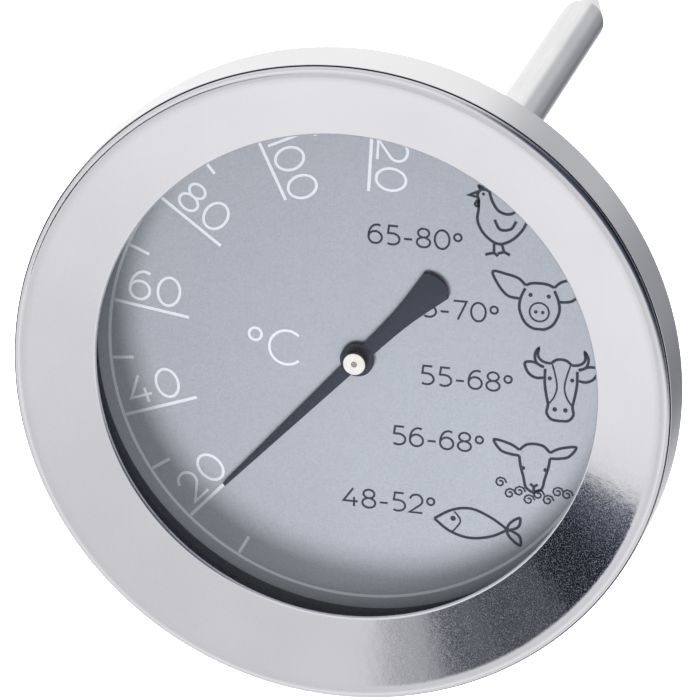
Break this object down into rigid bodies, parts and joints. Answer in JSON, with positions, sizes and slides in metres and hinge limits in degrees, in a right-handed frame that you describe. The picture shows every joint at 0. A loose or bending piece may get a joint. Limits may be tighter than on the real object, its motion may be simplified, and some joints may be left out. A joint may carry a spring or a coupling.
{
  "type": "dial meat thermometer",
  "caption": "Round steel dial thermometer with a dished bezel, glass front, turning pointer and a long pointed stem that is pushed into roasting meat.",
  "frame": {"origin": "centre of the lower face of the ferrule, on the stem's axis, where the stem leaves it and pushing it in must stop", "axes": "+Z out of the dial along the stem's axis, with the stem pointing to -Z; +X the way the labels on the dial read; +Y the top of the dial; the pointer rests at 20 degrees Celsius"},
  "size_m": [0.0618, 0.0618, 0.127],
  "materials": {
    "bezel_ring": "fine circular brushing, satin",
    "case_shell": "drawn sheet, satin",
    "case_seal": "matt",
    "lens_gasket": "matt",
    "lens": "clear",
    "spacer_ring": "black, matt",
    "dial_plate": "blue-grey, fine matt grain, printed scale",
    "pointer": "dark slate, satin",
    "pointer_bushing": "turned, pale",
    "pointer_staff": "drawn wire",
    "staff_collar": "turned",
    "bimetal_helix": "rolled strip",
    "coil_anchor": "turned",
    "guide_bush": "turned",
    "stem_tube": "drawn, bright satin",
    "stem_tip": "ground, bright satin",
    "stem_ferrule": "turned, satin",
    "ferrule_washer": "stamped"
  },
  "bodies": {
    "case": {"bezel_ring": "bezel_ring", "case_shell": "case_shell", "case_seal": "case_seal", "lens_gasket": "lens_gasket", "lens": "lens", "spacer_ring": "spacer_ring", "dial_plate": "dial_plate", "bimetal_helix": "bimetal_helix", "coil_anchor": "coil_anchor", "lower_guide_bush": "guide_bush", "mid_guide_bush": "guide_bush", "upper_guide_bush": "guide_bush", "stem_tube": "stem_tube", "stem_tip": "stem_tip", "stem_ferrule": "stem_ferrule", "ferrule_washer": "ferrule_washer"},
    "indicator": {"pointer": "pointer", "pointer_bushing": "pointer_bushing", "pointer_staff": "pointer_staff", "staff_collar": "staff_collar"}
  },
  "joints": [
    {"name": "pointer_turn", "type": "hinge", "parent": "case", "child": "indicator", "pos_m": [0, 0, 0.0114], "axis": [0, 0, -1], "range_deg": [-28, 147], "stiffness_Nm_per_rad": 0.0005}
  ]
}
